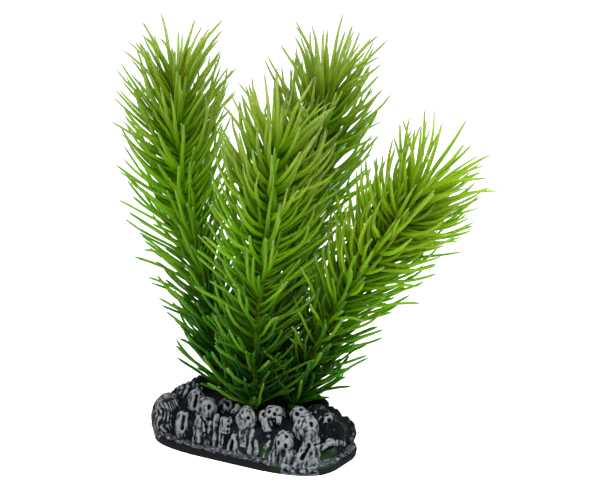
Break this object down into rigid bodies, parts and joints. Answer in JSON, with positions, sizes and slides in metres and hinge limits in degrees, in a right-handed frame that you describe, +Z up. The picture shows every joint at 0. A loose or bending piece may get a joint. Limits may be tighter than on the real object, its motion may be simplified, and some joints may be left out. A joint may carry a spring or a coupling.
{
  "type": "artificial mayaca aquarium plant",
  "caption": "Artificial mayaca: bushy green needle-leaved stems of moulded plastic in a knobbed, dark painted rock foot.",
  "frame": {"origin": "centre of the foot's flat underside", "axes": "+Z up from the underside to the stems' crowns, +X along the foot to the end that the right stem leans over, -Y to the front"},
  "size_m": [0.1444, 0.0708, 0.1517],
  "materials": {
    "rock": "satin",
    "plastic": "satin"
  },
  "bodies": {
    "root": {"foot": "rock", "stem_left": "plastic", "stem_front": "plastic", "stem_back": "plastic", "stem_right": "plastic"}
  },
  "joints": []
}
